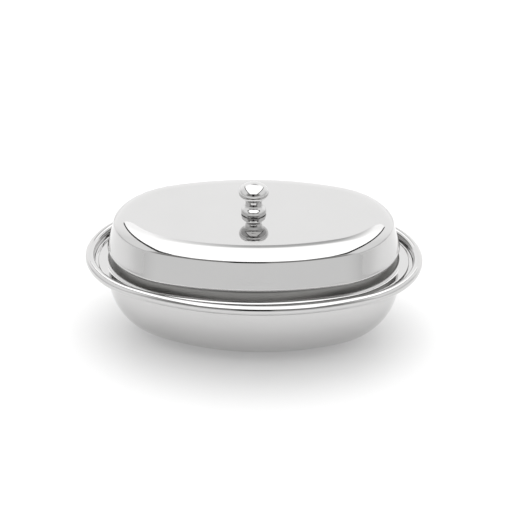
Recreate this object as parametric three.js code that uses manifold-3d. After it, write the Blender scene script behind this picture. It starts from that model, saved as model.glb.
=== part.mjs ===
// Covered oval butter dish in polished steel: a deep pressed dish with a rolled rim, and a pressed lid
// whose brim lies inside that rim, with a turned knob held by a screw and washer from below.
// Units are millimetres, +Z is up, the origin is the middle of the base, and the dish is longest along X.

import * as THREE from 'three';
import { mergeVertices } from 'three/addons/utils/BufferGeometryUtils.js';
import Module from 'manifold-3d';

const wasm = await Module();
wasm.setup();

// ---- Driving dimensions ----

const AROUND = 48;                 // stations round each oval
const ROUND_STEPS = 24;            // facets round each turned piece
const REST_GAP = 0.3;              // air between pieces that touch

const DISH_OVAL = { halfLength: 95, halfWidth: 64.5, sideRadius: 140 };
const LID_OVAL = { halfLength: 81.9, halfWidth: 53.3, sideRadius: 145 };
const LIP_SIDE_RADIUS = 162;       // the lip's long sides are flatter than the rest of the lid

const DISH_SHEET = 0.9;
const BEAD_RADIUS = 2.66;
const BEAD_CENTRE_Z = 45.6;
const BEAD_CURL = THREE.MathUtils.degToRad(300);    // how far round the bead the sheet is rolled
const FLANGE_Z = 42.65;            // middle of the sheet
const FLANGE_FILLET = 1.2;
const WALL_INSET = 12.5;           // rim edge to the middle of the wall's sheet
const WALL_TOP_RADIUS = 2;
const WALL_RUN = 47.2;             // how far the wall runs inwards by the time it is flat
const WALL_EXPONENT = 2.7;
const WALL_SIDE_RATIO = 0.79;      // the long sides lean in less than the ends

const LID_SHEET = 0.8;
const LID_TURN = THREE.MathUtils.degToRad(2.7);   // the loose lid lies turned a little in its seat
const BRIM_INSET = 7.5;            // rim edge to brim edge
const BRIM_FILLET = 2.8;
const LIP_Z = 52.8;                // the widest part of the lip
const LIP_ROUND = 1;               // how far below that the lip is rounded
const LIP_TUCK = 0.7;              // how far the lip draws in over that height
const NECK_INSET = 2.5;            // lip edge to the middle of the neck's sheet
const NECK_DROP = 1.9;
const NECK_BEND = 1;               // how far below that the neck's sheet is straight
const NECK_SLOPE = THREE.MathUtils.degToRad(76);    // it leans outwards on its way down
const LID_WALL_INSET = 0.82;       // lip edge to the middle of the wall's foot
const LID_WALL_FOOT = 1.6;         // heights above the lip
const LID_WALL_HEAD = 14.1;
const LID_WALL_SLOPE = THREE.MathUtils.degToRad(75.5);
const SHOULDER_RADIUS = 2.1;       // a tight shoulder, then wider and wider ones up to the flat top
const SHOULDER_END_SLOPE = THREE.MathUtils.degToRad(45);
const HAUNCH_RADIUS = 12;
const HAUNCH_END_SLOPE = THREE.MathUtils.degToRad(9);
const EASING_RADIUS = 30;
const SCREW_CLEARANCE_RADIUS = 2.3;
const ROUND_ZONE_RADIUS = 8;       // the lid's rings are round inside this

const KNOB_HEIGHT = 17.95;
const KNOB_FOOT_RADIUS = 7;
const KNOB_FOOT_EDGE = 1.2;
const KNOB_FOOT_CHAMFER = 0.3;
const KNOB_FLARE_RADIUS = 6.55;    // the foot's rounded shoulder
const KNOB_FLARE_Z = 2.75;
const KNOB_WAIST_RADIUS = 4.95;    // where the flare runs out into the neck
const KNOB_WAIST_Z = 4.4;
const KNOB_NECK_RADIUS = 4.6;
const KNOB_NECK_Z = 6.2;
const KNOB_COLLAR_RADIUS = 5;      // where the neck meets the ball
const KNOB_COLLAR_Z = 8.2;
const KNOB_BALL_RADIUS = 8.3;
const KNOB_BALL_Z = 12.5;
const KNOB_BALL_LOWER = 4.8;
const KNOB_BORE_RADIUS = 2;
const KNOB_BORE_DEPTH = 10;

const SCREW_RADIUS = 1.7;
const SCREW_REACH = 8;
const SCREW_TIP_CHAMFER = 0.6;
const SCREW_HEAD_RADIUS = 3.5;
const SCREW_HEAD_HEIGHT = 2.4;
const SCREW_FACE_RADIUS = 2.1;     // flat end of the rounded head
const SCREW_ROUND_RADIUS = 3.1;
const SCREW_ROUND_DEPTH = 1.9;
const SCREW_EDGE_DEPTH = 1;
const RECESS_LENGTH = 4;
const RECESS_WIDTH = 1;
const RECESS_DEPTH = 1.5;
const WASHER_RADIUS = 6;
const WASHER_THICKNESS = 0.8;

// ---- Levels worked out from the dimensions ----

const FLANGE_TOP = FLANGE_Z + DISH_SHEET / 2;
const BRIM_Z = FLANGE_TOP + REST_GAP + LID_SHEET / 2;
const shoulderFall = SHOULDER_RADIUS * (Math.cos(SHOULDER_END_SLOPE) - Math.cos(LID_WALL_SLOPE));
const haunchFall = HAUNCH_RADIUS * (Math.cos(HAUNCH_END_SLOPE) - Math.cos(SHOULDER_END_SLOPE));
const easingFall = EASING_RADIUS * (1 - Math.cos(HAUNCH_END_SLOPE));
const LID_MIDDLE_TOP = LIP_Z + LID_WALL_HEAD + shoulderFall + haunchFall + easingFall;
const LID_TOP = LID_MIDDLE_TOP + LID_SHEET / 2;
const LID_CEILING = LID_MIDDLE_TOP - LID_SHEET / 2;
const WASHER_TOP = LID_CEILING - REST_GAP;
const HEAD_TOP = WASHER_TOP - WASHER_THICKNESS - REST_GAP;

// ---- Materials ----

const dishSteel = new THREE.MeshStandardMaterial({ color: 0xc9c8c9, roughness: 0.08, metalness: 1 });
const lidSteel = new THREE.MeshStandardMaterial({ color: 0xcfcecf, roughness: 0.07, metalness: 1 });
const knobSteel = new THREE.MeshStandardMaterial({ color: 0xc6c6c7, roughness: 0.06, metalness: 1 });
const screwSteel = new THREE.MeshStandardMaterial({ color: 0xa9a9aa, roughness: 0.3, metalness: 1 });

// ---- Four-arc ovals ----

// An oval of two wide side arcs and two end arcs that meet with a common tangent.
function makeOval({ halfLength, halfWidth, sideRadius }) {
  const squares = halfLength ** 2 + halfWidth ** 2 - 2 * halfWidth * sideRadius;
  const endRadius = squares / (2 * (halfLength - sideRadius));
  const endCentre = halfLength - endRadius;
  const sideCentre = sideRadius - halfWidth;
  return { sideRadius, endRadius, endCentre, sideCentre, joinAngle: Math.atan2(sideCentre, endCentre) };
}

// The same oval drawn inwards by an equal distance all round.
function insetOval({ halfLength, halfWidth, sideRadius }, inset) {
  return { halfLength: halfLength - inset, halfWidth: halfWidth - inset, sideRadius: sideRadius - inset };
}

// The point a fraction of the way round, moved inwards by one distance at the ends and one at the sides.
function ovalPoint(oval, turn, endInset, sideInset = endInset) {
  const quarter = Math.floor(turn * 4) % 4;
  const along = turn * 4 - Math.floor(turn * 4);
  const endLength = oval.endRadius * oval.joinAngle;
  const sideLength = oval.sideRadius * (Math.PI / 2 - oval.joinAngle);
  const climbs = quarter % 2 === 0;
  const travelled = (climbs ? along : 1 - along) * (endLength + sideLength);
  const onEnd = travelled <= endLength;
  const normal = onEnd ? travelled / oval.endRadius
    : oval.joinAngle + (travelled - endLength) / oval.sideRadius;
  const radius = onEnd ? oval.endRadius : oval.sideRadius;
  const x = (onEnd ? oval.endCentre : 0) + (radius - endInset) * Math.cos(normal);
  const y = (onEnd ? 0 : -oval.sideCentre) + (radius - sideInset) * Math.sin(normal);
  return new THREE.Vector2(quarter === 0 || quarter === 3 ? x : -x, quarter < 2 ? y : -y);
}

// ---- Pressed sheet ----

function arc(centreX, centreY, radius, from, to, steps) {
  const curve = new THREE.EllipseCurve(centreX, centreY, radius, radius, from, to, to < from);
  return curve.getPoints(steps);
}

// Turns the middle line of a sheet into its closed section: out along one face, back along the other.
function sheetSection(middle, thickness) {
  const faces = [1, -1].map((side) => middle.map((point, i) => {
    const before = middle[Math.max(i - 1, 0)];
    const after = middle[Math.min(i + 1, middle.length - 1)];
    const along = after.clone().sub(before).normalize();
    const across = new THREE.Vector2(-along.y, along.x).multiplyScalar(side * thickness / 2);
    return point.clone().add(across);
  }));
  const section = [...faces[1], ...faces[0].reverse()];
  return middle[0].x > 0 ? [...section, section[0].clone()] : section;
}

// A quarter superellipse from flat (at the middle, x = 0) to upright (x = 1), sampled evenly in direction.
function quarterSuperellipse(exponent, steps) {
  return Array.from({ length: steps + 1 }, (_, i) => {
    const normal = (Math.PI / 2) * (1 - i / steps);
    const x = Math.max(0, Math.cos(normal)) ** (1 / (exponent - 1));
    const y = Math.sin(normal) ** (1 / (exponent - 1));
    const size = (x ** exponent + y ** exponent) ** (1 / exponent);
    return new THREE.Vector2(x / size, y / size);
  });
}

// A lathe surface whose rings are pressed from circles into the ovals that place() gives.
function pressedShell(section, place) {
  const geometry = new THREE.LatheGeometry(section, AROUND);
  const position = geometry.getAttribute('position');
  for (let station = 0; station <= AROUND; station++) {
    const turn = (station % AROUND) / AROUND;
    section.forEach((point, i) => {
      const spot = place(point, turn);
      position.setXYZ(station * section.length + i, spot.x, spot.y, point.y);
    });
  }
  return welded(geometry);
}

function welded(geometry) {
  geometry.deleteAttribute('normal');
  geometry.deleteAttribute('uv');
  const joined = mergeVertices(geometry, 1e-4);
  joined.computeVertexNormals();
  return joined;
}

// ---- Dish ----

// Middle line of the dish's sheet, as radius along the half length against height: floor, wall, flange, bead.
function dishMiddle() {
  const reach = DISH_OVAL.halfLength;
  const wallTop = FLANGE_Z - WALL_TOP_RADIUS;
  const floorZ = DISH_SHEET / 2;
  const wall = quarterSuperellipse(WALL_EXPONENT, 10).slice(0, -1).map(({ x, y }) => new THREE.Vector2(
    reach - WALL_INSET - WALL_RUN * (1 - x), wallTop - (wallTop - floorZ) * y));
  const cornerX = reach - WALL_INSET + WALL_TOP_RADIUS;
  const corner = arc(cornerX, wallTop, WALL_TOP_RADIUS, Math.PI, Math.PI / 2, 3);
  const beadMiddle = BEAD_RADIUS - DISH_SHEET / 2;
  const beadX = reach - BEAD_RADIUS;
  const stepX = beadX - beadMiddle - FLANGE_FILLET;
  const step = arc(stepX, FLANGE_Z + FLANGE_FILLET, FLANGE_FILLET, -Math.PI / 2, 0, 3);
  const curl = arc(beadX, BEAD_CENTRE_Z, beadMiddle, Math.PI, Math.PI - BEAD_CURL, 10);
  return [new THREE.Vector2(0, floorZ), ...wall, ...corner, ...step, ...curl];
}

function makeDish() {
  const oval = makeOval(DISH_OVAL);
  const floorRadius = DISH_OVAL.halfLength - WALL_INSET - WALL_RUN;
  const placeInset = (inset, turn) => {
    const wallPart = Math.max(0, inset - WALL_INSET);
    return ovalPoint(oval, turn, inset, inset - wallPart * (1 - WALL_SIDE_RATIO));
  };
  const place = (point, turn) => {
    const outer = Math.max(point.x, floorRadius);
    return placeInset(DISH_OVAL.halfLength - outer, turn).multiplyScalar(point.x / outer);
  };
  return new THREE.Mesh(pressedShell(sheetSection(dishMiddle(), DISH_SHEET), place), dishSteel);
}

// ---- Lid ----

// Points of a rounding that bends from one slope to a gentler one, starting from the point given.
function bend(start, radius, fromSlope, toSlope, steps) {
  const centre = new THREE.Vector2(
    start.x - radius * Math.sin(fromSlope), start.y - radius * Math.cos(fromSlope));
  return arc(centre.x, centre.y, radius, Math.PI / 2 - fromSlope, Math.PI / 2 - toSlope, steps);
}

// Middle line of the lid's top and wall, from the wall's foot up to the flat top.
function domeMiddle() {
  const foot = new THREE.Vector2(LID_OVAL.halfLength - LID_WALL_INSET, LIP_Z + LID_WALL_FOOT);
  const climb = LID_WALL_HEAD - LID_WALL_FOOT;
  const head = new THREE.Vector2(foot.x - climb / Math.tan(LID_WALL_SLOPE), foot.y + climb);
  const shoulder = bend(head, SHOULDER_RADIUS, LID_WALL_SLOPE, SHOULDER_END_SLOPE, 3);
  const haunch = bend(shoulder.at(-1), HAUNCH_RADIUS, SHOULDER_END_SLOPE, HAUNCH_END_SLOPE, 5);
  const easing = bend(haunch.at(-1), EASING_RADIUS, HAUNCH_END_SLOPE, 0, 2);
  return [foot, ...shoulder, ...haunch.slice(1), ...easing.slice(1)];
}

// Middle line of the lid's sheet, from the screw hole out over the dome, round the lip and down to the brim.
function lidMiddle() {
  const reach = LID_OVAL.halfLength;
  const dome = domeMiddle().reverse();
  const lipX = reach - LID_SHEET / 2;
  const neckX = reach - NECK_INSET;
  const neckZ = LIP_Z - NECK_DROP;
  const lip = new THREE.SplineCurve([
    dome.at(-1),
    new THREE.Vector2(lipX, LIP_Z),
    new THREE.Vector2(lipX - LIP_TUCK, LIP_Z - LIP_ROUND),
    new THREE.Vector2(neckX, neckZ),
    new THREE.Vector2(neckX + NECK_BEND / Math.tan(NECK_SLOPE), neckZ - NECK_BEND),
  ]).getPoints(10).slice(1);
  const cornerX = brimCornerReach();
  const brimCorner = arc(
    cornerX, BRIM_Z + BRIM_FILLET, BRIM_FILLET, Math.PI * 1.5 - NECK_SLOPE, Math.PI * 1.5, 3);
  const brimEdge = new THREE.Vector2(DISH_OVAL.halfLength - BRIM_INSET, BRIM_Z);
  const middle = [SCREW_CLEARANCE_RADIUS, ROUND_ZONE_RADIUS].map((radius) => new THREE.Vector2(radius, dome[0].y));
  return [...middle, ...dome, ...lip, ...brimCorner, brimEdge];
}

// How far out the flat of the brim begins, where the rounding at the neck's foot ends.
function brimCornerReach() {
  const roundingTop = BRIM_Z + BRIM_FILLET * (1 - Math.cos(NECK_SLOPE));
  const climb = LIP_Z - NECK_DROP - roundingTop;
  const neckRun = climb / Math.tan(NECK_SLOPE) + BRIM_FILLET * Math.sin(NECK_SLOPE);
  return LID_OVAL.halfLength - NECK_INSET + neckRun;
}

// How far the lid's outline has passed from the top's oval to the lip's at a height: all the way at
// the lip, and none of it at the wall's head and at the neck's foot.
function lipShare(z) {
  const above = (LIP_Z + LID_WALL_HEAD - z) / LID_WALL_HEAD;
  const below = (z - BRIM_Z) / (LIP_Z - LIP_ROUND - BRIM_Z);
  return THREE.MathUtils.clamp(Math.min(above, below), 0, 1);
}

function makeLid() {
  const lidOval = makeOval(LID_OVAL);
  const lipOval = makeOval({ ...LID_OVAL, sideRadius: LIP_SIDE_RADIUS });
  const brimOval = makeOval(insetOval(DISH_OVAL, BRIM_INSET));
  const brimReach = DISH_OVAL.halfLength - BRIM_INSET;
  const cornerReach = brimCornerReach();
  const flatReach = domeMiddle().at(-1).x;
  const onLid = (radius, turn) => ovalPoint(lidOval, turn, LID_OVAL.halfLength - radius);
  const onWall = (point, turn) => {
    const onLip = ovalPoint(lipOval, turn, LID_OVAL.halfLength - point.x);
    return onLid(point.x, turn).lerp(onLip, lipShare(point.y));
  };
  const onCircle = (radius, turn) => new THREE.Vector2(radius, 0).rotateAround(
    new THREE.Vector2(), turn * 2 * Math.PI);
  const place = (point, turn) => {
    const radius = point.x;
    if (radius > cornerReach) {
      const outwards = (radius - cornerReach) / (brimReach - cornerReach);
      return onLid(cornerReach, turn).lerp(ovalPoint(brimOval, turn, 0), outwards);
    }
    if (radius >= flatReach) {
      return onWall(point, turn);
    }
    const outwards = Math.max(0, (radius - ROUND_ZONE_RADIUS) / (flatReach - ROUND_ZONE_RADIUS));
    const scaled = onLid(flatReach, turn).multiplyScalar(radius / flatReach);
    return onCircle(radius, turn).lerp(scaled, outwards);
  };
  return new THREE.Mesh(pressedShell(sheetSection(lidMiddle(), LID_SHEET), place), lidSteel);
}

// ---- Turned pieces ----

function turned(profile, material) {
  const geometry = new THREE.LatheGeometry(profile, ROUND_STEPS).rotateX(Math.PI / 2);
  return new THREE.Mesh(welded(geometry), material);
}

function points(...pairs) {
  return pairs.map(([radius, height]) => new THREE.Vector2(radius, height));
}

// Bell-shaped foot, narrow neck and flattened ball, with a blind bore for the screw.
function makeKnob() {
  const bell = new THREE.SplineCurve(points(
    [KNOB_FOOT_RADIUS, KNOB_FOOT_EDGE],
    [KNOB_FLARE_RADIUS, KNOB_FLARE_Z],
    [KNOB_WAIST_RADIUS, KNOB_WAIST_Z],
    [KNOB_NECK_RADIUS, KNOB_NECK_Z],
    [KNOB_COLLAR_RADIUS, KNOB_COLLAR_Z],
  )).getPoints(12);
  const lower = new THREE.EllipseCurve(
    0, KNOB_BALL_Z, KNOB_BALL_RADIUS, KNOB_BALL_LOWER, -Math.PI * 0.27, 0).getPoints(4);
  const upper = new THREE.EllipseCurve(
    0, KNOB_BALL_Z, KNOB_BALL_RADIUS, KNOB_HEIGHT - KNOB_BALL_Z, 0, Math.PI / 2).getPoints(7);
  const top = points([0, KNOB_HEIGHT]);
  const bore = points([0, KNOB_BORE_DEPTH], [KNOB_BORE_RADIUS, KNOB_BORE_DEPTH], [KNOB_BORE_RADIUS, 0]);
  const foot = points([KNOB_FOOT_RADIUS - KNOB_FOOT_CHAMFER, 0], [KNOB_FOOT_RADIUS, KNOB_FOOT_CHAMFER]);
  return turned([...bore, ...foot, ...bell, ...lower, ...upper.slice(1, -1), ...top], knobSteel);
}

function makeWasher() {
  const inner = SCREW_CLEARANCE_RADIUS;
  return turned(points(
    [inner, 0], [WASHER_RADIUS, 0], [WASHER_RADIUS, WASHER_THICKNESS], [inner, WASHER_THICKNESS], [inner, 0],
  ), screwSteel);
}

function solidOf(geometry) {
  const closed = welded(geometry);
  return new wasm.Manifold(new wasm.Mesh({
    numProp: 3,
    vertProperties: new Float32Array(closed.getAttribute('position').array),
    triVerts: new Uint32Array(closed.getIndex().array),
  }));
}

function geometryOf(solid) {
  const mesh = solid.getMesh();
  const geometry = new THREE.BufferGeometry();
  geometry.setAttribute('position', new THREE.BufferAttribute(mesh.vertProperties, 3));
  geometry.setIndex(new THREE.BufferAttribute(mesh.triVerts, 1));
  geometry.computeVertexNormals();
  return geometry;
}

// Pan-head screw with a cross recess in its underside; its height is counted from under the head's flat face.
function makeScrew() {
  const bottom = -SCREW_HEAD_HEIGHT;
  const shaft = turned(points(
    [0, bottom],
    [SCREW_FACE_RADIUS, bottom],
    [SCREW_ROUND_RADIUS, -SCREW_ROUND_DEPTH],
    [SCREW_HEAD_RADIUS, -SCREW_EDGE_DEPTH],
    [SCREW_HEAD_RADIUS, 0],
    [SCREW_RADIUS, 0],
    [SCREW_RADIUS, SCREW_REACH - SCREW_TIP_CHAMFER],
    [SCREW_RADIUS - SCREW_TIP_CHAMFER, SCREW_REACH],
    [0, SCREW_REACH],
  ), screwSteel);
  let solid = solidOf(shaft.geometry);
  for (const turn of [0, Math.PI / 2]) {
    const slot = new THREE.BoxGeometry(RECESS_LENGTH, RECESS_WIDTH, 2 * RECESS_DEPTH);
    slot.rotateZ(turn).translate(0, 0, bottom);
    solid = solid.subtract(solidOf(slot));
  }
  return new THREE.Mesh(geometryOf(solid), screwSteel);
}

// ---- Assembly ----

const butterDish = new THREE.Group();
const lidGroup = new THREE.Group();
lidGroup.rotation.z = LID_TURN;
butterDish.add(lidGroup);

function addPiece(group, name, mesh, z) {
  mesh.name = name;
  mesh.position.z = z;
  group.add(mesh);
}

addPiece(butterDish, 'dish', makeDish(), 0);
addPiece(lidGroup, 'lid', makeLid(), 0);
addPiece(lidGroup, 'knob', makeKnob(), LID_TOP + REST_GAP);
addPiece(lidGroup, 'knob_washer', makeWasher(), WASHER_TOP - WASHER_THICKNESS);
addPiece(lidGroup, 'knob_screw', makeScrew(), HEAD_TOP);

export default butterDish;
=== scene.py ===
"""Polished steel oval butter dish: a dish with a rolled rim, and a lid with a turned knob."""

import math

import bmesh
import bpy
from mathutils import Matrix, Vector


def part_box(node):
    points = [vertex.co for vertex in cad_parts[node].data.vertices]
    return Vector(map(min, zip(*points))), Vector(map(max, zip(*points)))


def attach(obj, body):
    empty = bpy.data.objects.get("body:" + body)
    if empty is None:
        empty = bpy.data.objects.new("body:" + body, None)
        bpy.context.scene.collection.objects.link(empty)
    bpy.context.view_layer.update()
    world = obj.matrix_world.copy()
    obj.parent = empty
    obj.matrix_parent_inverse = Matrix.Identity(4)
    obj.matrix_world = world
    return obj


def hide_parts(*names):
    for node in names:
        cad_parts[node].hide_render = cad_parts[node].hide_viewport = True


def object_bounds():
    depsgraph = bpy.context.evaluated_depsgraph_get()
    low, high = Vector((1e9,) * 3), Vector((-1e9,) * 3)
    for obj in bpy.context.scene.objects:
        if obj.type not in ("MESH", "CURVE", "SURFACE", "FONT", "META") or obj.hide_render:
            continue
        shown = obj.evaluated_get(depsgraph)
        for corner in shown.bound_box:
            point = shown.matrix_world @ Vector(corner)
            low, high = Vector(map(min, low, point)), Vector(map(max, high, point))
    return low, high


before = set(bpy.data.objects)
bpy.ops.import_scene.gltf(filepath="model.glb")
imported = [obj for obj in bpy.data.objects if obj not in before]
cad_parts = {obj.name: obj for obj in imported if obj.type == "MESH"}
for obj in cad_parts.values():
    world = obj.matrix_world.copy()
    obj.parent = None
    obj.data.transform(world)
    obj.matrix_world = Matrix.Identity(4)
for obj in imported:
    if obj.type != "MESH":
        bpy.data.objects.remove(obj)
cad_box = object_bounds()

MM = 0.001
ON_AXIS = 1e-7  # a section's point nearer to the axis than this is a pole

# How finely the meshes are cut.
AROUND = 256  # stations round each oval
ROUND = 96  # facets round each turned piece
EDGE_STEPS = 6
CORNER_STEPS = 10
WALL_STEPS = 44
FILLET_STEPS = 8
BEAD_STEPS = 40
SHOULDER_STEPS = 14
HAUNCH_STEPS = 22
LIP_STEPS = 7
BELL_STEPS = 12
CHAMFER_STEPS = 5
BALL_LOWER_STEPS = 16
BALL_UPPER_STEPS = 32
WASHER_EDGE_STEPS = 3

# ---- Sizes, in metres. The overall ones come from the CAD boxes. ----

dish_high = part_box("dish")[1]
lid_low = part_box("lid")[0]
knob_low, knob_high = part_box("knob")
washer_low, washer_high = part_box("knob_washer")
screw_low, screw_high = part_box("knob_screw")

DISH_LENGTH = dish_high.x
DISH_WIDTH = dish_high.y
DISH_SIDE_RADIUS = 140 * MM
LID_LENGTH = 81.9 * MM
LID_WIDTH = 53.3 * MM
LID_SIDE_RADIUS = 145 * MM
LIP_SIDE_RADIUS = 162 * MM
LID_TURN = math.radians(2.7)

DISH_SHEET = 0.9 * MM
BEAD_RADIUS = 2.66 * MM
BEAD_Z = dish_high.z - BEAD_RADIUS
BEAD_CURL = math.radians(318)
FLANGE_Z = 42.65 * MM
FLANGE_FILLET = 1.2 * MM
WALL_INSET = 12.5 * MM
WALL_TOP_RADIUS = 2 * MM
WALL_RUN = 47.2 * MM
WALL_EXPONENT = 2.7
WALL_SIDE_RATIO = 0.79

LID_SHEET = 0.8 * MM
BRIM_INSET = 7.5 * MM
BRIM_FILLET = 2.8 * MM
BRIM_Z = lid_low.z + LID_SHEET / 2
LIP_Z = 52.8 * MM
LIP_ROUND = 1 * MM
LIP_TUCK = 0.7 * MM
NECK_INSET = 2.5 * MM
NECK_DROP = 1.9 * MM
NECK_BEND = 1 * MM
NECK_SLOPE = math.radians(76)
LID_WALL_INSET = 0.82 * MM
LID_WALL_FOOT = 1.6 * MM
LID_WALL_HEAD = 14.1 * MM
LID_WALL_SLOPE = math.radians(75.5)
SHOULDER_RADIUS = 2.1 * MM
SHOULDER_END_SLOPE = math.radians(45)
HAUNCH_RADIUS = 12 * MM
HAUNCH_END_SLOPE = math.radians(9)
EASING_RADIUS = 30 * MM
HOLE_RADIUS = 2.3 * MM
ROUND_ZONE = 8 * MM


# ---- Curves ----


def arc(x, z, radius, start, end, steps):
    """Points of an arc from one angle to the other, measured from +X."""
    turns = [start + (end - start) * i / steps for i in range(steps + 1)]
    return [Vector((x + radius * math.cos(t), z + radius * math.sin(t))) for t in turns]


def spline(knots, steps):
    """A Catmull-Rom curve through the knots, with that many steps between each two."""
    ends = [2 * knots[0] - knots[1], *knots, 2 * knots[-1] - knots[-2]]
    points = [knots[0]]
    for a, b, c, d in zip(ends, ends[1:], ends[2:], ends[3:]):
        for i in range(1, steps + 1):
            t = i / steps
            bend = (2 * a - 5 * b + 4 * c - d) * t**2 + (3 * b - 3 * c + d - a) * t**3
            points.append((2 * b + (c - a) * t + bend) / 2)
    return points


def bend(start, radius, from_slope, to_slope, steps):
    """A rounding that turns from one slope to a gentler one, going inwards and up."""
    x = start.x - radius * math.sin(from_slope)
    z = start.y - radius * math.cos(from_slope)
    return arc(x, z, radius, math.pi / 2 - from_slope, math.pi / 2 - to_slope, steps)


def quarter_superellipse(exponent, steps):
    """From flat (x = 0, y = 1) to upright (x = 1, y = 0), sampled evenly in direction."""
    points = []
    for i in range(steps + 1):
        normal = math.pi / 2 * (1 - i / steps)
        x = max(0.0, math.cos(normal)) ** (1 / (exponent - 1))
        y = max(0.0, math.sin(normal)) ** (1 / (exponent - 1))
        size = (x**exponent + y**exponent) ** (1 / exponent)
        points.append(Vector((x / size, y / size)))
    return points


def spread(start, end, steps):
    """The points between two others, with neither end."""
    return [start.lerp(end, i / steps) for i in range(1, steps)]


def sheet_section(middle, thickness):
    """The closed section of a sheet about its middle line, with a rounded edge at a free end."""
    sides = ([], [])
    for i, point in enumerate(middle):
        along = (middle[min(i + 1, len(middle) - 1)] - middle[max(i - 1, 0)]).normalized()
        if i == 0 and point.x == 0:
            along = Vector((1, 0))
        across = Vector((-along.y, along.x)) * thickness / 2
        sides[0].append(point - across)
        sides[1].append(point + across)
    section = sides[0] + free_edge(middle[-2], middle[-1], thickness) + sides[1][::-1]
    if middle[0].x > 0:
        section += free_edge(middle[1], middle[0], thickness)
    return section


def free_edge(before, end, thickness):
    """The half round that closes a sheet's edge, without its two ends."""
    along = (end - before).normalized()
    heading = math.atan2(along.y, along.x)
    half_round = arc(
        end.x, end.y, thickness / 2, heading - math.pi / 2, heading + math.pi / 2, EDGE_STEPS)
    return half_round[1:-1]


class Oval:
    """Two wide side arcs and two end arcs that meet with a common tangent."""

    def __init__(self, length, width, side_radius):
        self.length = length
        self.side = side_radius
        self.end = (length**2 + width**2 - 2 * width * side_radius) / (2 * (length - side_radius))
        self.end_centre = length - self.end
        self.side_centre = side_radius - width
        self.join = math.atan2(self.side_centre, self.end_centre)

    def point(self, turn, inset, side_inset=None):
        """The point a fraction of the way round, moved inwards by those distances."""
        side_inset = inset if side_inset is None else side_inset
        quarter = int(turn * 4) % 4
        along = turn * 4 - int(turn * 4)
        if quarter % 2:
            along = 1 - along
        end_run = self.end * self.join
        travelled = along * (end_run + self.side * (math.pi / 2 - self.join))
        if travelled <= end_run:
            normal, radius, x, y = travelled / self.end, self.end, self.end_centre, 0
        else:
            normal = self.join + (travelled - end_run) / self.side
            radius, x, y = self.side, 0, -self.side_centre
        x += (radius - inset) * math.cos(normal)
        y += (radius - side_inset) * math.sin(normal)
        return Vector((x if quarter in (0, 3) else -x, y if quarter < 2 else -y))


# ---- Meshes ----


def ringed_mesh(name, section, place, around):
    """A closed surface from a section swept round Z. place(point, turn) gives where a ring goes."""
    mesh = bmesh.new()
    rings = []
    for point in section:
        if point.x < ON_AXIS:
            rings.append([mesh.verts.new((0, 0, point.y))])
            continue
        spots = [place(point, i / around) for i in range(around)]
        rings.append([mesh.verts.new((spot.x, spot.y, point.y)) for spot in spots])
    closes = section[0].x > ON_AXIS
    for lower, upper in zip(rings, rings[1:] + rings[:1] if closes else rings[1:]):
        for i in range(around):
            j = (i + 1) % around
            if len(lower) == 1:
                corners = [lower[0], upper[j], upper[i]]
            elif len(upper) == 1:
                corners = [lower[i], lower[j], upper[0]]
            else:
                corners = [lower[i], lower[j], upper[j], upper[i]]
            mesh.faces.new(corners)
    bmesh.ops.recalc_face_normals(mesh, faces=mesh.faces)
    return object_from(name, mesh)


def object_from(name, mesh):
    """Makes a smooth-shaded object of a mesh under construction."""
    data = bpy.data.meshes.new(name)
    mesh.to_mesh(data)
    mesh.free()
    data.shade_smooth()
    made = bpy.data.objects.new(name, data)
    bpy.context.scene.collection.objects.link(made)
    return made


def in_circle(radius, turn):
    angle = turn * 2 * math.pi
    return Vector((radius * math.cos(angle), radius * math.sin(angle)))


def turned_piece(name, section, base_z):
    """A round piece about the Z axis, standing at a height."""
    made = ringed_mesh(name, section, lambda point, turn: in_circle(point.x, turn), ROUND)
    made.data.transform(Matrix.Translation((0, 0, base_z)))
    return made


# ---- Dish ----


def dish_middle():
    """Middle line of the dish's sheet from the centre of the floor to the end of the bead."""
    wall_top = FLANGE_Z - WALL_TOP_RADIUS
    floor_z = DISH_SHEET / 2
    wall = [
        Vector((
            DISH_LENGTH - WALL_INSET - WALL_RUN * (1 - p.x),
            wall_top - (wall_top - floor_z) * p.y,
        ))
        for p in quarter_superellipse(WALL_EXPONENT, WALL_STEPS)
    ]
    corner_x = DISH_LENGTH - WALL_INSET + WALL_TOP_RADIUS
    corner = arc(corner_x, wall_top, WALL_TOP_RADIUS, math.pi, math.pi / 2, CORNER_STEPS)
    bead_x = DISH_LENGTH - BEAD_RADIUS
    bead_middle = BEAD_RADIUS - DISH_SHEET / 2
    step_x = bead_x - bead_middle - FLANGE_FILLET
    step_z = FLANGE_Z + FLANGE_FILLET
    step = arc(step_x, step_z, FLANGE_FILLET, -math.pi / 2, 0, FILLET_STEPS)
    bead = arc(bead_x, BEAD_Z, bead_middle, math.pi, math.pi - BEAD_CURL, BEAD_STEPS)
    centre = Vector((0, floor_z))
    floor = spread(centre, wall[0], 8)
    flange = spread(corner[-1], step[0], 4)
    return [centre, *floor, *wall[:-1], *corner, *flange, *step, *bead]


def make_dish():
    oval = Oval(DISH_LENGTH, DISH_WIDTH, DISH_SIDE_RADIUS)
    floor_edge = DISH_LENGTH - WALL_INSET - WALL_RUN

    def place(point, turn):
        outer = max(point.x, floor_edge)
        inset = DISH_LENGTH - outer
        wall_part = max(0, inset - WALL_INSET)
        spot = oval.point(turn, inset, inset - wall_part * (1 - WALL_SIDE_RATIO))
        return spot * (point.x / outer)

    return ringed_mesh("steel_dish", sheet_section(dish_middle(), DISH_SHEET), place, AROUND)


# ---- Lid ----


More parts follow.
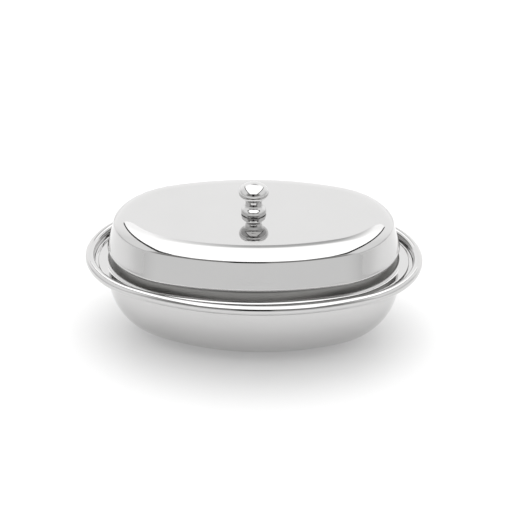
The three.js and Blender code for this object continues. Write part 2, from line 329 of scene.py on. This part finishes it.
def dome_middle():
    """Middle line of the lid's wall and top, from the foot of the wall to the flat top."""
    foot = Vector((LID_LENGTH - LID_WALL_INSET, LIP_Z + LID_WALL_FOOT))
    climb = LID_WALL_HEAD - LID_WALL_FOOT
    head = Vector((foot.x - climb / math.tan(LID_WALL_SLOPE), foot.y + climb))
    shoulder = bend(head, SHOULDER_RADIUS, LID_WALL_SLOPE, SHOULDER_END_SLOPE, SHOULDER_STEPS)
    haunch = bend(shoulder[-1], HAUNCH_RADIUS, SHOULDER_END_SLOPE, HAUNCH_END_SLOPE, HAUNCH_STEPS)
    easing = bend(haunch[-1], EASING_RADIUS, HAUNCH_END_SLOPE, 0, CORNER_STEPS)
    return [foot, *spread(foot, head, 12), *shoulder, *haunch[1:], *easing[1:]]


def brim_corner_reach():
    """How far out the flat of the brim begins, where the rounding at the neck's foot ends."""
    rounding_top = BRIM_Z + BRIM_FILLET * (1 - math.cos(NECK_SLOPE))
    climb = LIP_Z - NECK_DROP - rounding_top
    run = climb / math.tan(NECK_SLOPE) + BRIM_FILLET * math.sin(NECK_SLOPE)
    return LID_LENGTH - NECK_INSET + run


def lid_middle():
    """Middle line of the lid's sheet from the screw hole to the edge of the brim."""
    dome = dome_middle()[::-1]
    lip_x = LID_LENGTH - LID_SHEET / 2
    neck_x = LID_LENGTH - NECK_INSET
    neck_z = LIP_Z - NECK_DROP
    lip = spline([
        dome[-1],
        Vector((lip_x, LIP_Z)),
        Vector((lip_x - LIP_TUCK, LIP_Z - LIP_ROUND)),
        Vector((neck_x, neck_z)),
        Vector((neck_x + NECK_BEND / math.tan(NECK_SLOPE), neck_z - NECK_BEND)),
    ], LIP_STEPS)[1:]
    corner = arc(
        brim_corner_reach(), BRIM_Z + BRIM_FILLET, BRIM_FILLET,
        math.pi * 1.5 - NECK_SLOPE, math.pi * 1.5, CORNER_STEPS)
    edge = Vector((DISH_LENGTH - BRIM_INSET - LID_SHEET / 2, BRIM_Z))
    hole = Vector((HOLE_RADIUS + LID_SHEET / 2, dome[0].y))
    round_zone = Vector((ROUND_ZONE, dome[0].y))
    flat = [hole, round_zone, *spread(round_zone, dome[0], 8)]
    neck = spread(lip[-1], corner[0], 4)
    brim = spread(corner[-1], edge, 6)
    return [*flat, *dome, *lip, *neck, *corner, *brim, edge]


def lip_share(z):
    """How far the outline has passed from the top's oval to the flatter one of the lip."""
    above = (LIP_Z + LID_WALL_HEAD - z) / LID_WALL_HEAD
    below = (z - BRIM_Z) / (LIP_Z - LIP_ROUND - BRIM_Z)
    return min(max(min(above, below), 0), 1)


def make_lid():
    lid_oval = Oval(LID_LENGTH, LID_WIDTH, LID_SIDE_RADIUS)
    lip_oval = Oval(LID_LENGTH, LID_WIDTH, LIP_SIDE_RADIUS)
    brim_reach = DISH_LENGTH - BRIM_INSET
    brim_oval = Oval(brim_reach, DISH_WIDTH - BRIM_INSET, DISH_SIDE_RADIUS - BRIM_INSET)
    corner_reach = brim_corner_reach()
    flat_reach = dome_middle()[-1].x
    turned = Matrix.Rotation(LID_TURN, 2)

    def on_lid(radius, turn):
        return lid_oval.point(turn, LID_LENGTH - radius)

    def place(point, turn):
        radius = point.x
        if radius > corner_reach:
            outwards = (radius - corner_reach) / (brim_reach - corner_reach)
            spot = on_lid(corner_reach, turn).lerp(brim_oval.point(turn, 0), outwards)
        elif radius >= flat_reach:
            on_lip = lip_oval.point(turn, LID_LENGTH - radius)
            spot = on_lid(radius, turn).lerp(on_lip, lip_share(point.y))
        elif radius <= ROUND_ZONE:
            spot = in_circle(radius, turn)
        else:
            outwards = (radius - ROUND_ZONE) / (flat_reach - ROUND_ZONE)
            spot = in_circle(ROUND_ZONE, turn).lerp(on_lid(flat_reach, turn), outwards)
        return turned @ spot

    return ringed_mesh("steel_lid", sheet_section(lid_middle(), LID_SHEET), place, AROUND)


# ---- Knob, washer and screw ----

KNOB_RADIUS = 8.3 * MM
KNOB_BALL_Z = 12.5 * MM
KNOB_BALL_LOWER = 4.8 * MM
KNOB_BALL_START = -math.pi * 0.27
KNOB_FOOT_RADIUS = 7 * MM
KNOB_FOOT_EDGE = 1.2 * MM
KNOB_FOOT_CHAMFER = 0.3 * MM
KNOB_FLARE_RADIUS = 6.55 * MM
KNOB_FLARE_Z = 2.75 * MM
KNOB_WAIST_RADIUS = 4.95 * MM
KNOB_WAIST_Z = 4.4 * MM
KNOB_NECK_RADIUS = 4.6 * MM
KNOB_NECK_Z = 6.2 * MM
KNOB_COLLAR_RADIUS = 5 * MM
KNOB_COLLAR_Z = 8.2 * MM
BORE_RADIUS = 2 * MM
BORE_DEPTH = 10 * MM


def make_knob():
    height = knob_high.z - knob_low.z
    bore = [
        Vector((0, BORE_DEPTH)),
        Vector((BORE_RADIUS, BORE_DEPTH)),
        *spread(Vector((BORE_RADIUS, BORE_DEPTH)), Vector((BORE_RADIUS, 0)), 4),
        Vector((BORE_RADIUS, 0)),
    ]
    chamfer = KNOB_FOOT_CHAMFER
    foot = arc(KNOB_FOOT_RADIUS - chamfer, chamfer, chamfer, -math.pi / 2, 0, CHAMFER_STEPS)
    bell = spline([
        Vector((KNOB_FOOT_RADIUS, KNOB_FOOT_EDGE)),
        Vector((KNOB_FLARE_RADIUS, KNOB_FLARE_Z)),
        Vector((KNOB_WAIST_RADIUS, KNOB_WAIST_Z)),
        Vector((KNOB_NECK_RADIUS, KNOB_NECK_Z)),
        Vector((KNOB_COLLAR_RADIUS, KNOB_COLLAR_Z)),
    ], BELL_STEPS)
    lower = half_ball(KNOB_BALL_LOWER, KNOB_BALL_START, 0, BALL_LOWER_STEPS)
    upper = half_ball(height - KNOB_BALL_Z, 0, math.pi / 2, BALL_UPPER_STEPS)
    section = [*bore, *foot, *bell, *lower[1:], *upper[1:-1], Vector((0, height))]
    return turned_piece("steel_knob", section, knob_low.z)


def half_ball(height, start, end, steps):
    """Part of the ball's outline, which is flatter above its middle than below it."""
    turns = [start + (end - start) * i / steps for i in range(steps + 1)]
    return [
        Vector((KNOB_RADIUS * math.cos(t), KNOB_BALL_Z + height * math.sin(t))) for t in turns
    ]


WASHER_EDGE = 0.15 * MM


def make_washer():
    thickness = washer_high.z - washer_low.z
    outer = washer_high.x
    e = WASHER_EDGE
    section = [
        *arc(outer - e, e, e, -math.pi / 2, 0, WASHER_EDGE_STEPS),
        *arc(outer - e, thickness - e, e, 0, math.pi / 2, WASHER_EDGE_STEPS),
        *arc(HOLE_RADIUS + e, thickness - e, e, math.pi / 2, math.pi, WASHER_EDGE_STEPS),
        *arc(HOLE_RADIUS + e, e, e, math.pi, math.pi * 1.5, WASHER_EDGE_STEPS),
    ]
    return turned_piece("steel_washer", section, washer_low.z)


HEAD_HEIGHT = 2.4 * MM
HEAD_ROUND = 1.4 * MM
SHANK_RADIUS = 1.7 * MM
THREAD_DEPTH = 0.28 * MM
THREAD_PITCH = 0.7 * MM
STEPS_PER_TURN = 8
RECESS_LENGTH = 4 * MM
RECESS_WIDTH = 1 * MM
RECESS_DEPTH = 1.5 * MM
SHARP_ANGLE = math.radians(35)


def make_screw():
    """A pan-head screw with a cut thread and a cross recess in its underside."""
    head_radius = screw_high.x
    length = screw_high.z - screw_low.z
    head = [
        Vector((0, 0)),
        *spread(Vector((0, 0)), Vector((head_radius - HEAD_ROUND, 0)), 5),
        *arc(head_radius - HEAD_ROUND, HEAD_ROUND, HEAD_ROUND, -math.pi / 2, 0, FILLET_STEPS),
        Vector((head_radius, HEAD_HEIGHT)),
    ]
    rows = int((length - HEAD_HEIGHT) / THREAD_PITCH * STEPS_PER_TURN)
    rise = (length - HEAD_HEIGHT) / rows
    shank = [Vector((SHANK_RADIUS, HEAD_HEIGHT + i * rise)) for i in range(rows + 1)]
    section = [*head, *shank, Vector((0, length))]

    def place(point, turn):
        thread = 0
        if point.y > HEAD_HEIGHT and point.x == SHANK_RADIUS:
            phase = ((point.y - HEAD_HEIGHT) / THREAD_PITCH - turn) % 1
            thread = THREAD_DEPTH * (1 - abs(2 * phase - 1))
        return in_circle(point.x - thread, turn)

    screw = ringed_mesh("steel_screw", section, place, ROUND)
    cut_recess(screw)
    screw.data.transform(Matrix.Translation((0, 0, screw_low.z)))
    return screw


def cut_recess(screw):
    """Cuts a cross into the screw's underside, then removes the cutter."""
    mesh = bmesh.new()
    for size in ((RECESS_LENGTH, RECESS_WIDTH), (RECESS_WIDTH, RECESS_LENGTH)):
        bmesh.ops.create_cube(mesh, size=1, matrix=Matrix.Diagonal((*size, 2 * RECESS_DEPTH, 1)))
    cutter = object_from("recess_cutter", mesh)
    cut = screw.modifiers.new("recess", "BOOLEAN")
    cut.object = cutter
    cut.solver = "EXACT"
    cut.use_self = True
    apply_modifiers(screw)
    bpy.data.objects.remove(cutter)
    screw.data.set_sharp_from_angle(angle=SHARP_ANGLE)


def apply_modifiers(piece):
    graph = bpy.context.evaluated_depsgraph_get()
    result = bpy.data.meshes.new_from_object(piece.evaluated_get(graph))
    piece.modifiers.clear()
    piece.data = result


# ---- Materials ----


class Nodes:
    """A short way to add and join shader nodes."""

    def __init__(self, tree):
        self.tree = tree

    def add(self, kind, inputs=None, **settings):
        node = self.tree.nodes.new("ShaderNode" + kind)
        for name, value in settings.items():
            setattr(node, name, value)
        for name, value in (inputs or {}).items():
            self.feed(node.inputs[name], value)
        return node

    def feed(self, socket, value):
        if isinstance(value, bpy.types.NodeSocket):
            self.tree.links.new(value, socket)
        else:
            socket.default_value = value

    def noise(self, position, size, detail=2.0, stretch=(1, 1, 1)):
        """Noise from 0 to 1 whose features are about this size, in metres."""
        scaled = self.add("Mapping", {"Vector": position, "Scale": [s / size for s in stretch]})
        made = self.add("TexNoise", {"Vector": scaled.outputs[0], "Scale": 1.0, "Detail": detail})
        return made.outputs["Fac"]

    def spread(self, value, low, high, from_low=0.0, from_high=1.0):
        """Takes a range to another, held at its ends."""
        made = self.add("MapRange", {
            "Value": value, "From Min": from_low, "From Max": from_high,
            "To Min": low, "To Max": high,
        })
        return made.outputs["Result"]

    def sum(self, *values):
        total = values[0]
        for value in values[1:]:
            total = self.add("Math", {0: total, 1: value}, operation="ADD").outputs[0]
        return total


STEEL_LIGHT = (0.60, 0.597, 0.595, 1)
STEEL_DARK = (0.57, 0.567, 0.565, 1)
CLOUD_SIZE = 34 * MM
SMUDGE_SIZE = 9 * MM
SMUDGE_RANGE = (0.3, 0.7)
RIPPLE_SIZE = 13 * MM
MARK_WIDTH = (0.25 * MM, 0.2 * MM)  # along the dish, and across it
MARK_STRETCH = (0.02, 0.03)
MARK_RANGES = ((0.60, 0.78), (0.62, 0.80))
FAINTER_MARKS = 0.7
GRAIN_STRENGTH = 0.12
GRAIN_HEIGHT = 0.002 * MM
GLOSS_RANGE = (0.75, 1.3)  # a roughness from this to that share of the material's own

# Painted shade: the neck's band under the lid's lip gets this much darker steel colour.
GROOVE_PAINTED_SHADE = (0.28, 0.277, 0.27, 1)
GROOVE_ROUGHNESS = (0.28, 0.36)
GROOVE_BLEND = 0.4 * MM
GROOVE_BOTTOM = BRIM_Z + LID_SHEET / 2 + 0.45 * BRIM_FILLET  # nearly half way up the rounding
GROOVE_TOP = LIP_Z - LIP_ROUND - GROOVE_BLEND

FASTENER_LIGHT = (0.50, 0.50, 0.49, 1)
FASTENER_DARK = (0.42, 0.42, 0.41, 1)
RING_SIZE = 0.12 * MM
RING_STRENGTH = 0.3
RING_HEIGHT = 0.01 * MM
SPECKLE_SIZE = 0.8 * MM
TURNED_GLOSS_RANGE = (0.8, 1.3)
TURNED_RANGE = (0.5, 1.5)


def polished_steel(name, light, dark, gloss, scratch, wave, groove=None):
    """Mirror-polished steel. Cloudy smudges, fine polishing marks and a faint ripple in the sheet.

    The mop doesn't reach into a groove, so between those two heights the steel is satin; its colour
    there is also darkened a great deal, as painted shade under the lid's lip.
    """
    material = bpy.data.materials.new(name)
    material.use_nodes = True
    nodes = Nodes(material.node_tree)
    shader = material.node_tree.nodes["Principled BSDF"]
    position = nodes.add("TexCoord").outputs["Object"]

    clouds = nodes.noise(position, CLOUD_SIZE, 3)
    smudges = nodes.noise(position, SMUDGE_SIZE, 4)
    marks_along = nodes.noise(position, MARK_WIDTH[0], 1, stretch=(MARK_STRETCH[0], 1, 1))
    marks_across = nodes.noise(position, MARK_WIDTH[1], 1, stretch=(1, MARK_STRETCH[1], 1))
    marks = nodes.sum(
        nodes.spread(marks_along, 0, 1, *MARK_RANGES[0]),
        nodes.spread(marks_across, 0, FAINTER_MARKS, *MARK_RANGES[1]),
    )
    tone = nodes.add("Mix", {"Factor": clouds, "A": dark, "B": light}, data_type="RGBA")
    roughness = nodes.sum(
        nodes.spread(smudges, gloss * GLOSS_RANGE[0], gloss * GLOSS_RANGE[1], *SMUDGE_RANGE),
        nodes.spread(marks, 0, scratch),
    )
    ripple = nodes.noise(position, RIPPLE_SIZE, 1)
    grain = nodes.add("Bump", {
        "Height": marks, "Strength": GRAIN_STRENGTH, "Distance": GRAIN_HEIGHT,
    })
    waves = nodes.add("Bump", {
        "Height": ripple, "Strength": 1.0, "Distance": wave, "Normal": grain.outputs[0],
    })
    colour = tone.outputs["Result"]
    if groove:
        bottom, top = groove
        height = nodes.add("SeparateXYZ", {"Vector": position}).outputs["Z"]
        satin_and_painted_shade = product(
            nodes, nodes.spread(height, 0, 1, bottom - GROOVE_BLEND, bottom + GROOVE_BLEND),
            nodes.spread(height, 1, 0, top - GROOVE_BLEND, top + GROOVE_BLEND))
        # Painted shade: between the two heights the colour is darkened, standing in for shade under
        # the lip.
        colour = mixed(nodes, satin_and_painted_shade, colour, GROOVE_PAINTED_SHADE)
        roughness = nodes.add("Mix", {
            "Factor": satin_and_painted_shade, "A": roughness, "B": nodes.spread(smudges, *GROOVE_ROUGHNESS),
        }).outputs["Result"]
    nodes.feed(shader.inputs["Base Color"], colour)
    nodes.feed(shader.inputs["Roughness"], roughness)
    nodes.feed(shader.inputs["Normal"], waves.outputs[0])
    shader.inputs["Metallic"].default_value = 1.0
    return material


def machined_steel(name, light, dark, gloss):
    """Plain turned steel with fine rings round its axis."""
    material = bpy.data.materials.new(name)
    material.use_nodes = True
    nodes = Nodes(material.node_tree)
    shader = material.node_tree.nodes["Principled BSDF"]
    position = nodes.add("TexCoord").outputs["Object"]
    flat = nodes.add("VectorMath", {0: position, 1: (1, 1, 0)}, operation="MULTIPLY")
    radius = nodes.add("VectorMath", {0: flat.outputs[0]}, operation="LENGTH").outputs["Value"]
    ring_space = nodes.add("CombineXYZ", {"X": radius})
    rings = nodes.noise(ring_space.outputs[0], RING_SIZE, 2)
    speckle = nodes.noise(position, SPECKLE_SIZE, 3)
    tone = nodes.add("Mix", {"Factor": speckle, "A": dark, "B": light}, data_type="RGBA")
    roughness = nodes.spread(
        nodes.sum(rings, speckle), gloss * TURNED_GLOSS_RANGE[0], gloss * TURNED_GLOSS_RANGE[1],
        *TURNED_RANGE)
    bump = nodes.add("Bump", {
        "Height": rings, "Strength": RING_STRENGTH, "Distance": RING_HEIGHT,
    })
    nodes.feed(shader.inputs["Base Color"], tone.outputs["Result"])
    nodes.feed(shader.inputs["Roughness"], roughness)
    nodes.feed(shader.inputs["Normal"], bump.outputs[0])
    shader.inputs["Metallic"].default_value = 1.0
    return material


def place_pieces():
    """Makes every piece with its material, and sets it on its body in place of its CAD node."""
    dish_steel = polished_steel(
        "polished_dish", STEEL_LIGHT, STEEL_DARK, gloss=0.05, scratch=0.05, wave=0.015 * MM)
    lid_steel = polished_steel(
        "polished_lid", STEEL_LIGHT, STEEL_DARK, gloss=0.04, scratch=0.04, wave=0.008 * MM,
        groove=(GROOVE_BOTTOM, GROOVE_TOP))
    knob_steel = polished_steel(
        "polished_knob", STEEL_LIGHT, STEEL_DARK, gloss=0.035, scratch=0.03, wave=0.001 * MM)
    fastener_steel = machined_steel("machined_fastener", FASTENER_LIGHT, FASTENER_DARK, gloss=0.28)
    pieces = (
        (make_dish(), "dish", "dish", "dish_steel", dish_steel),
        (make_lid(), "lid", "lid", "lid_steel", lid_steel),
        (make_knob(), "lid", "knob", "knob_steel", knob_steel),
        (make_washer(), "lid", "knob_washer", "fastener_steel", fastener_steel),
        (make_screw(), "lid", "knob_screw", "fastener_steel", fastener_steel),
    )
    for piece, body, node, slot, material in pieces:
        piece.data.materials.clear()
        piece.data.materials.append(material)
        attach(piece, body)
        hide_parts(node)


# ---- Studio ----

FLOOR_SIZE = 9.0
FLOOR_WHITE = (0.80, 0.80, 0.80, 1)
FLOOR_WHITE_DEEP = (0.78, 0.78, 0.78, 1)
FLOOR_CLOUD_SIZE = 0.3
FLOOR_ROUGHNESS = 0.9
FLOOR_SPECULAR = 0.1
FLOOR_GLOW = 0.20  # the floor is lit from below too, like a studio's light table

PANEL_HEIGHT = 0.85
PANEL_RADIANCE = 1.95
PANEL_BACK_RADIANCE = 1.5
PANEL_FALL = (0.5, 1.1)  # how far behind the dish the light falls from one to the other
PANEL_BACK = (0.78, 1.28)  # half width of the panel, and how far behind the dish that is
PANEL_MIDDLE = (0.60, 0.30)
PANEL_FRONT = (0.40, -0.66)

PANEL_SHADE = 0.95  # the middle of the panel's back is darker by this much
SHADE_START = (0.78, 0.92)
SHADE_HALF_WIDTH = (0.08, 0.28)

FRAME_BLACK = (0.02, 0.02, 0.02, 1)
FRAME_WIDTH = 0.10
FRAME_GAP = 5 * MM

# The room. Heights are sines of the elevation, half widths are tangents of the angle to the
# side, and a pair is where a change begins and where it ends.

BACK_GLOW = (1.28, 1.28, 1.28, 1)
BACK_DIM = (0.62, 0.62, 0.61, 1)
BACK_DIM_BASE = (0.515, 0.56)
BACK_DIM_HALF_WIDTH = (0.40, 0.65)
SIDE_GLOW = (1.10, 1.10, 1.10, 1)
SIDE_START = (0.9, 2.0)
SIDE_LOW_GLOW = (0.80, 0.80, 0.80, 1)
SIDE_LOW_TOP = (0.12, 0.40)
FRONT_GLOW = (0.31, 0.305, 0.30, 1)
FRONT_START = (-0.05, 0.05)
LOW_GLOW = (0.94, 0.94, 0.94, 1)
LOW_GLOW_TOP = (0.20, 0.28)
GAP_DARK = (0.01, 0.01, 0.01, 1)
GAP_TOP = (0.66, 0.72)
GAP_HALF_WIDTH = (0.13, 0.19)


def make_floor():
    """A plain pale table top."""
    mesh = bmesh.new()
    bmesh.ops.create_grid(mesh, x_segments=8, y_segments=8, size=FLOOR_SIZE / 2)
    floor = object_from("floor", mesh)
    material = bpy.data.materials.new("floor_white")
    material.use_nodes = True
    nodes = Nodes(material.node_tree)
    shader = material.node_tree.nodes["Principled BSDF"]
    clouds = nodes.noise(nodes.add("TexCoord").outputs["Object"], FLOOR_CLOUD_SIZE, 2)
    tone = nodes.add("Mix", {
        "Factor": clouds, "A": FLOOR_WHITE_DEEP, "B": FLOOR_WHITE,
    }, data_type="RGBA")
    nodes.feed(shader.inputs["Base Color"], tone.outputs["Result"])
    shader.inputs["Roughness"].default_value = FLOOR_ROUGHNESS
    shader.inputs["Specular IOR Level"].default_value = FLOOR_SPECULAR
    shader.inputs["Emission Color"].default_value = (1, 1, 1, 1)
    shader.inputs["Emission Strength"].default_value = FLOOR_GLOW
    floor.data.materials.append(material)


def make_panel():
    """The soft light overhead, with its black frame."""
    panel = flat_sheet("overhead_panel", PANEL_HEIGHT, 0)
    frame_behind = flat_sheet("panel_frame", PANEL_HEIGHT + FRAME_GAP, FRAME_WIDTH)
    glowing = bpy.data.materials.new("panel_white")
    glowing.use_nodes = True
    nodes = Nodes(glowing.node_tree)
    shader = glowing.node_tree.nodes["Principled BSDF"]
    parts = nodes.add("SeparateXYZ", {"Vector": nodes.add("TexCoord").outputs["Object"]})
    sideways = nodes.add("Math", {0: parts.outputs["X"]}, operation="ABSOLUTE").outputs[0]
    strength = nodes.spread(parts.outputs["Y"], PANEL_RADIANCE, PANEL_BACK_RADIANCE, *PANEL_FALL)
    shade = product(
        nodes, nodes.spread(parts.outputs["Y"], 0, PANEL_SHADE, *SHADE_START),
        nodes.spread(sideways, 1, 0, *SHADE_HALF_WIDTH))
    strength = nodes.add("Math", {0: strength, 1: shade}, operation="SUBTRACT").outputs[0]
    shader.inputs["Base Color"].default_value = (0, 0, 0, 1)
    shader.inputs["Emission Color"].default_value = (1, 1, 1, 1)
    nodes.feed(shader.inputs["Emission Strength"], strength)
    black = bpy.data.materials.new("frame_black")
    black.use_nodes = True
    black.node_tree.nodes["Principled BSDF"].inputs["Base Color"].default_value = FRAME_BLACK
    for sheet, material in ((panel, glowing), (frame_behind, black)):
        sheet.data.materials.append(material)


def flat_sheet(name, height, border):
    """A level sheet, wide behind the dish and narrow in front. Its border leaves out the back."""
    right = [
        (PANEL_BACK[0] + border, PANEL_BACK[1]), (PANEL_MIDDLE[0] + border, PANEL_MIDDLE[1]),
        (PANEL_FRONT[0] + border, PANEL_FRONT[1] - border),
    ]
    left = [(-x, y) for x, y in reversed(right)]
    mesh = bmesh.new()
    mesh.faces.new([mesh.verts.new((x, y, height)) for x, y in (*right, *left)])
    return object_from(name, mesh)


def make_world():
    """A pale room, bright behind the dish and dim in front.

    The front has a bright strip low down, with a narrow dark gap above it.
    """
    world = bpy.data.worlds.new("studio")
    world.use_nodes = True
    bpy.context.scene.world = world
    nodes = Nodes(world.node_tree)
    parts = nodes.add("SeparateXYZ", {"Vector": nodes.add("TexCoord").outputs["Generated"]})
    height = parts.outputs["Z"]
    sideways = nodes.add("Math", {0: parts.outputs["X"]}, operation="ABSOLUTE").outputs[0]
    forwards = nodes.add("Math", {0: parts.outputs["Y"], 1: -1.0}, operation="MULTIPLY").outputs[0]
    depth = nodes.add("Math", {0: parts.outputs["Y"]}, operation="ABSOLUTE").outputs[0]
    aside = nodes.add("Math", {0: sideways, 1: depth}, operation="DIVIDE").outputs[0]

    above_strip = nodes.spread(height, 0, 1, *LOW_GLOW_TOP)
    in_gap = product(
        nodes, nodes.spread(aside, 1, 0, *GAP_HALF_WIDTH), above_strip,
        nodes.spread(height, 1, 0, *GAP_TOP))
    in_dim = product(
        nodes, nodes.spread(aside, 1, 0, *BACK_DIM_HALF_WIDTH),
        nodes.spread(height, 0, 1, *BACK_DIM_BASE))
    to_the_side = nodes.spread(aside, 0, 1, *SIDE_START)
    front = mixed(nodes, above_strip, LOW_GLOW, FRONT_GLOW)
    front = mixed(nodes, in_gap, front, GAP_DARK)
    back = mixed(nodes, in_dim, BACK_GLOW, BACK_DIM)
    tone = mixed(nodes, nodes.spread(forwards, 1, 0, *FRONT_START), front, back)
    side = mixed(nodes, nodes.spread(height, 0, 1, *SIDE_LOW_TOP), SIDE_LOW_GLOW, SIDE_GLOW)
    tone = mixed(nodes, to_the_side, tone, side)
    nodes.feed(world.node_tree.nodes["Background"].inputs["Color"], tone)


def product(nodes, *values):
    """All the values multiplied together."""
    total = values[0]
    for value in values[1:]:
        total = nodes.add("Math", {0: total, 1: value}, operation="MULTIPLY").outputs[0]
    return total


def mixed(nodes, factor, a, b):
    """The first colour where the factor is 0 and the second where it is 1."""
    return nodes.add("Mix", {"Factor": factor, "A": a, "B": b}, data_type="RGBA").outputs["Result"]


# ---- Camera ----

CAMERA_TURN = math.radians(3.5)
CAMERA_RISE = math.radians(28.64)
CAMERA_ROLL = math.radians(0.15)
CAMERA_DISTANCE = 0.9
CAMERA_LENS = 112.17
CAMERA_SIDE_STEP = 1.35 * MM
CAMERA_AIM_DROP = 0.35 * MM  # below the middle of the whole object


def make_camera():
    low, high = cad_box
    aim = Vector((CAMERA_SIDE_STEP, 0, (low.z + high.z) / 2 - CAMERA_AIM_DROP))
    level = math.cos(CAMERA_RISE)
    back = Vector((
        math.sin(CAMERA_TURN) * level, -math.cos(CAMERA_TURN) * level, math.sin(CAMERA_RISE),
    ))
    data = bpy.data.cameras.new("camera")
    data.lens = CAMERA_LENS
    camera = bpy.data.objects.new("camera", data)
    facing = (-back).to_track_quat("-Z", "Y").to_matrix().to_4x4()
    place = Matrix.Translation(aim + back * CAMERA_DISTANCE)
    camera.matrix_world = place @ facing @ Matrix.Rotation(CAMERA_ROLL, 4, "Z")
    bpy.context.scene.collection.objects.link(camera)
    bpy.context.scene.camera = camera


place_pieces()
make_floor()
make_panel()
make_world()
make_camera()
bpy.context.scene.view_settings.view_transform = "Standard"
